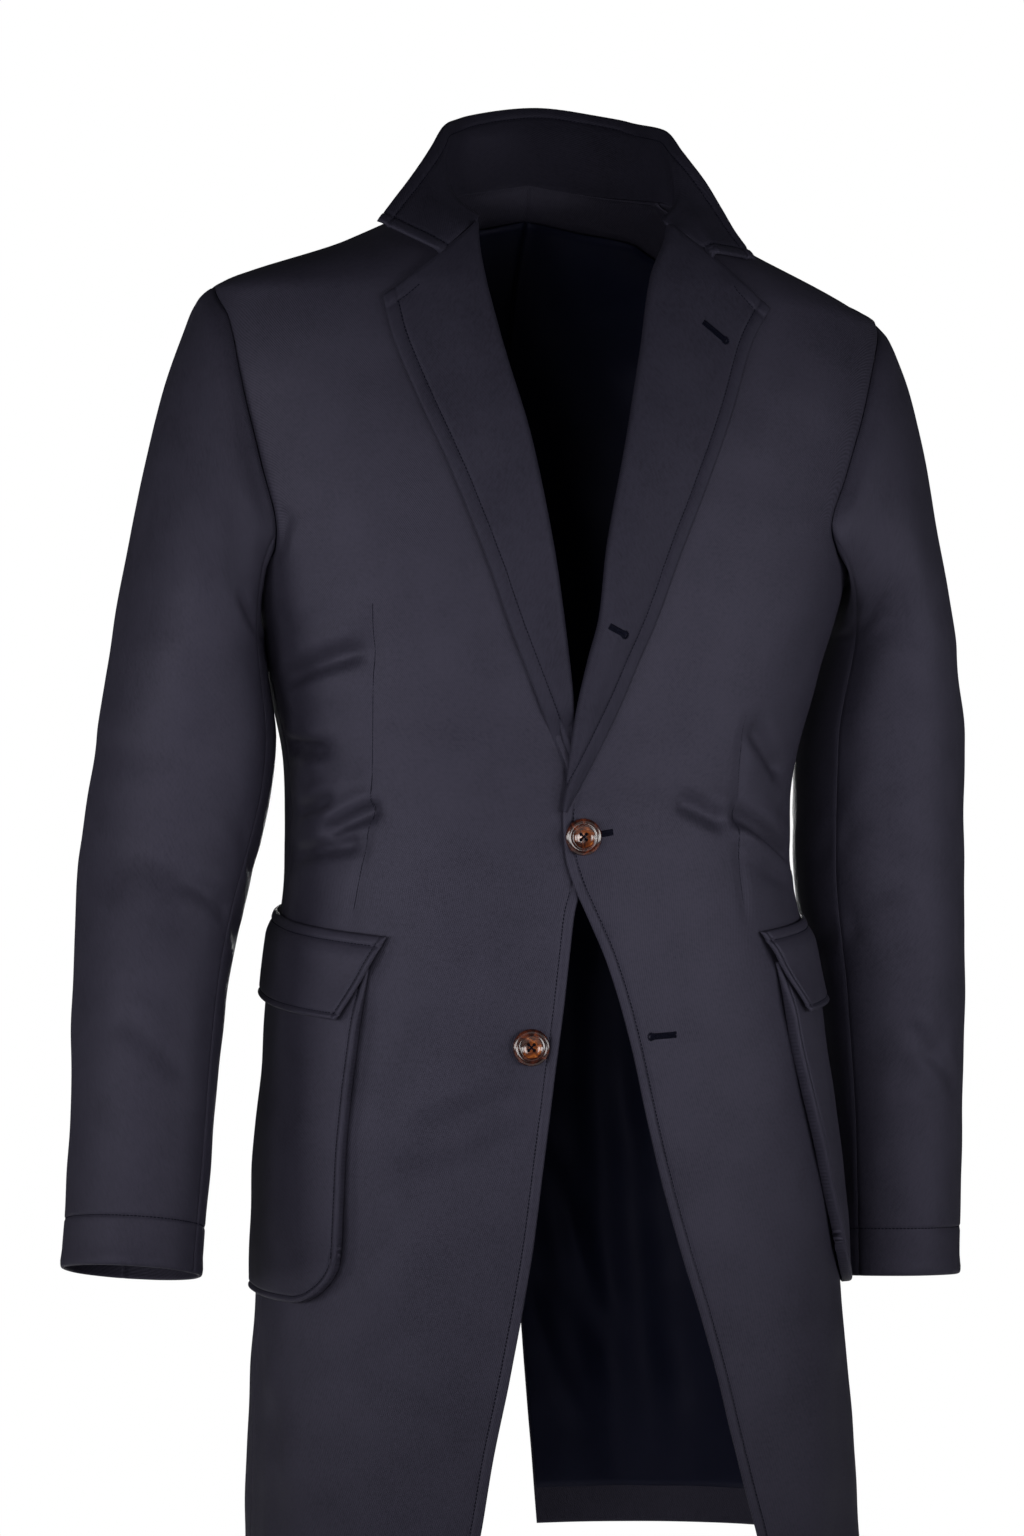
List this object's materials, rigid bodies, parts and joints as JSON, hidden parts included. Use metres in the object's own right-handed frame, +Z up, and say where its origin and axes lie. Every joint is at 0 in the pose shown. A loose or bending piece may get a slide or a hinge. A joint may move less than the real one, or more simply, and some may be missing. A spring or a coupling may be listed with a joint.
{
  "type": "overcoat",
  "caption": "Single-breasted overcoat kept in its worn, hollow form, with a turned-up collar, notched lapels and patch pockets with flaps.",
  "frame": {"origin": "middle of the neck base, at the height where the shoulder seams meet the neck and the wearer's shoulders carry the coat", "axes": "+Z up, -Y the way the front faces, +X the wearer's left"},
  "size_m": [0.6347, 0.2667, 0.9746],
  "materials": {
    "shell": "dark navy, fine smooth weave with a soft sheen",
    "lining": "deep navy lining, smooth",
    "horn": "polished dark brown horn look with amber spots"
  },
  "bodies": {
    "root": {"front_right": "shell", "front_left": "shell", "back_right": "shell", "back_left": "shell", "sleeve_top_right": "shell", "sleeve_top_left": "shell", "sleeve_under_right": "shell", "sleeve_under_left": "shell", "collar": "shell", "lapel_right": "shell", "lapel_left": "shell", "pocket_right": "shell", "pocket_left": "shell", "flap_right": "shell", "flap_left": "shell", "lining_right": "lining", "lining_left": "lining", "button_top": "horn", "button_lower": "horn"}
  },
  "joints": []
}
